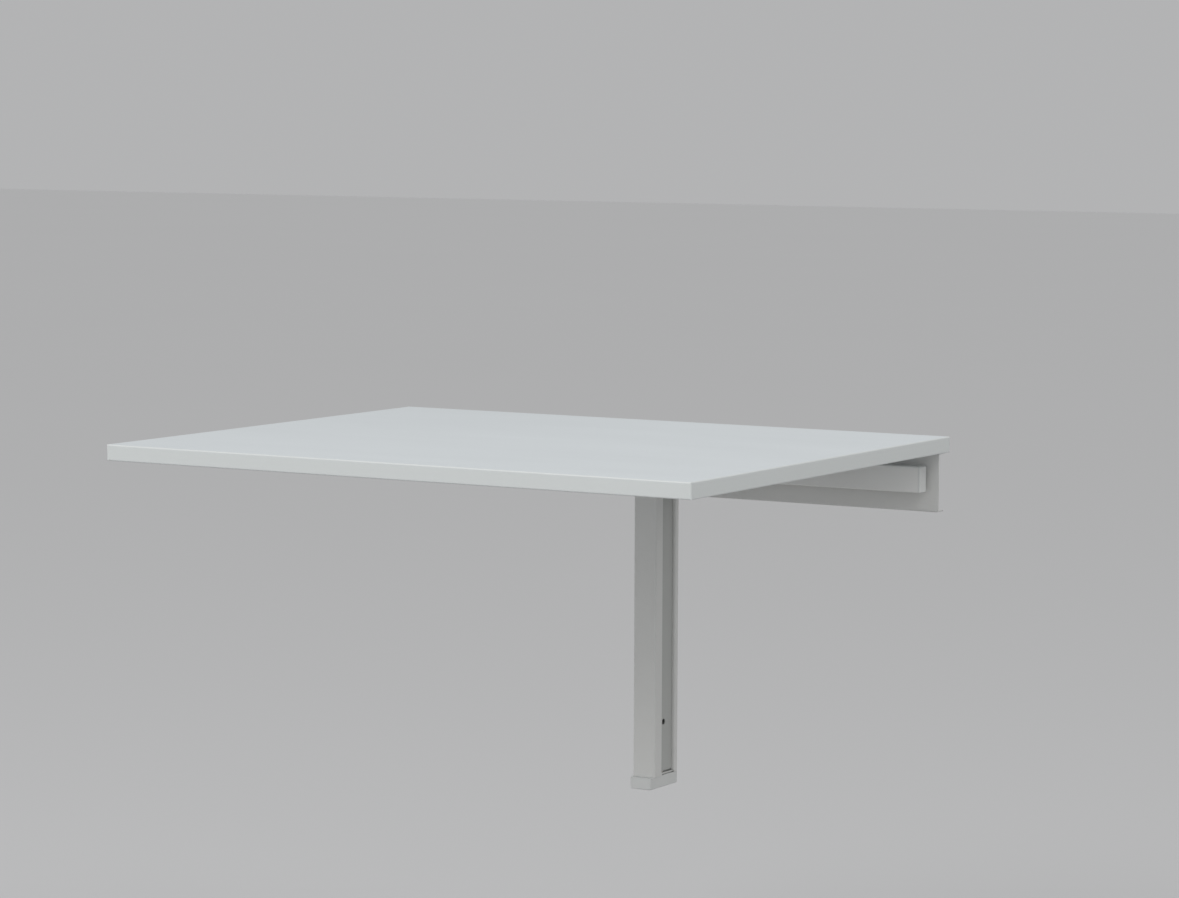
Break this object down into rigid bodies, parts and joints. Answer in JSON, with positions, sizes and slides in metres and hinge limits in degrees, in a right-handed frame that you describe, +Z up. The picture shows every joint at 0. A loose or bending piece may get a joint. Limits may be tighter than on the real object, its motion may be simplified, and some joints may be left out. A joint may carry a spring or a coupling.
{
  "type": "wall mounted drop leaf table",
  "caption": "White wall mounted table: a level leaf hinged at a steel wall rail, with a gate arm that swings out from a slim vertical post to carry it.",
  "frame": {"origin": "on the wall face, at mid-length and mid-height of the wall rail, midway between its two outer wall holes", "axes": "+X along the wall to the right as seen from the room, +Y into the wall, +Z up"},
  "size_m": [0.74, 0.602, 0.4342],
  "materials": {
    "leaf_foil": "white foil on particle board, fine matt grain",
    "edge_band": "white edge band, satin",
    "powder_coat": "white powder coat, fine orange peel",
    "white_plastic": "white moulded plastic, satin",
    "zinc_steel": "zinc plated steel",
    "natural_nylon": "natural nylon",
    "black_steel": "blackened steel"
  },
  "bodies": {
    "leaf": {"table_board": "leaf_foil", "edge_band_front": "edge_band", "edge_band_rear": "edge_band", "edge_band_left": "edge_band", "edge_band_right": "edge_band", "hinge_leaf_left": "zinc_steel", "hinge_leaf_right": "zinc_steel", "hinge_board_screws": "zinc_steel", "arm_rest": "white_plastic", "arm_rest_screws": "zinc_steel"},
    "wall_frame": {"wall_rail": "powder_coat", "wall_spacers": "white_plastic", "post_rear_channel": "powder_coat", "post_front_channel": "powder_coat", "head_bracket": "powder_coat", "foot_bracket": "powder_coat", "upper_bush": "natural_nylon", "lower_bush": "natural_nylon", "post_cap": "white_plastic", "hinge_bracket_left": "powder_coat", "hinge_bracket_right": "powder_coat", "hinge_pin_left": "zinc_steel", "hinge_pin_right": "zinc_steel"},
    "gate_arm": {"pivot_tube": "powder_coat", "pivot_tube_plug": "white_plastic", "swing_arm": "powder_coat", "arm_end_plug": "white_plastic", "lower_pivot_pin": "zinc_steel", "pivot_pin_screw": "black_steel"}
  },
  "joints": [
    {"name": "leaf_fold", "type": "hinge", "parent": "wall_frame", "child": "leaf", "pos_m": [0, -0.064, 0.026], "axis": [1, 0, 0], "range_deg": [0, 90]},
    {"name": "arm_swing", "type": "hinge", "parent": "wall_frame", "child": "gate_arm", "pos_m": [0, -0.02775, 0], "axis": [0, 0, -1], "range_deg": [0, 180]}
  ]
}
